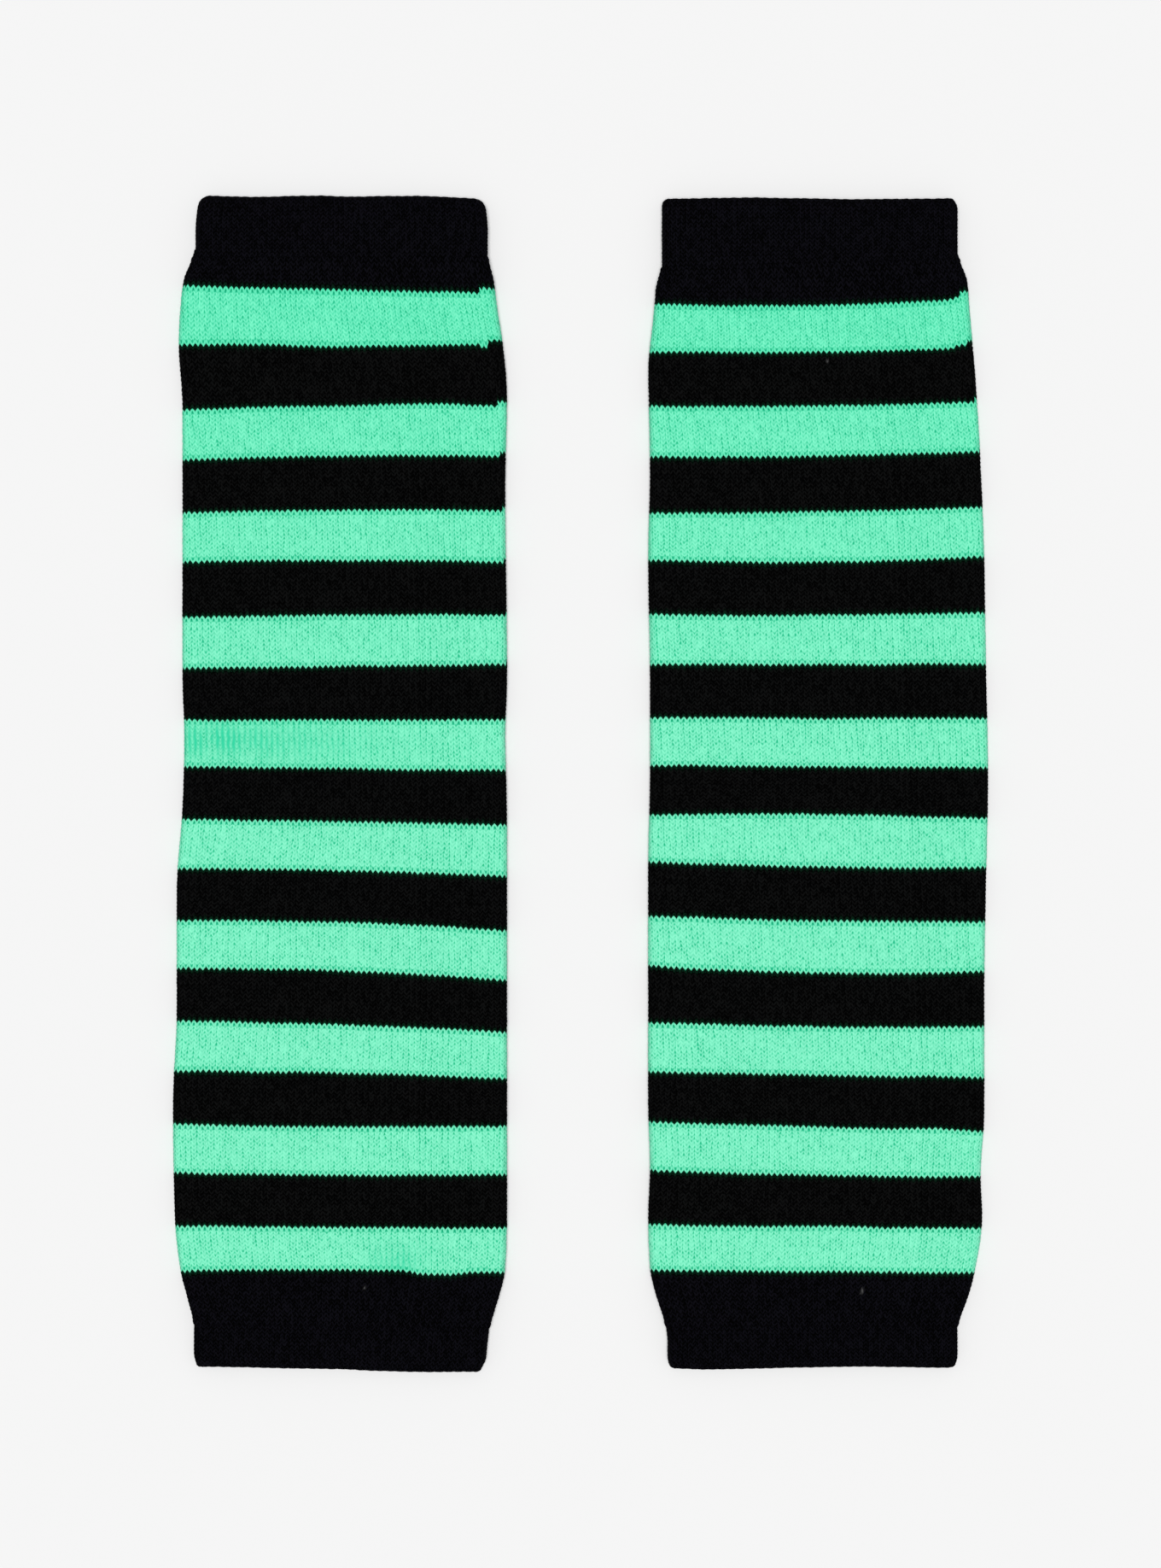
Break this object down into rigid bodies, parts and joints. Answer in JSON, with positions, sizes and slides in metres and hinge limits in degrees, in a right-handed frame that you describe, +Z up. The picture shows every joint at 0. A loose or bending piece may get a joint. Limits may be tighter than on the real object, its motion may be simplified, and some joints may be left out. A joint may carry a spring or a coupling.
{
  "type": "pair of knitted arm warmers",
  "caption": "Pair of open-ended knitted tubes that cover the forearms, in broad black and mint stripes with a turned welt above and ribbed cuffs below, laid flat.",
  "frame": {"origin": "centre of the pair's underside, midway between the two warmers and on the surface they lie on", "axes": "+Y along the tubes from the lower, ribbed cuffs to the upper, turned ones; +X from the left warmer to the right one; +Z up, out of the surface"},
  "size_m": [0.212, 0.305, 0.0055],
  "materials": {
    "mint_yarn": "matte, soft acrylic knit with a slight nap",
    "black_yarn": "matte, soft acrylic knit with a slight nap"
  },
  "bodies": {
    "root": {"left_upper_cuff": "black_yarn", "left_body": "mint_yarn", "left_lower_cuff": "black_yarn", "right_upper_cuff": "black_yarn", "right_body": "mint_yarn", "right_lower_cuff": "black_yarn"}
  },
  "joints": []
}
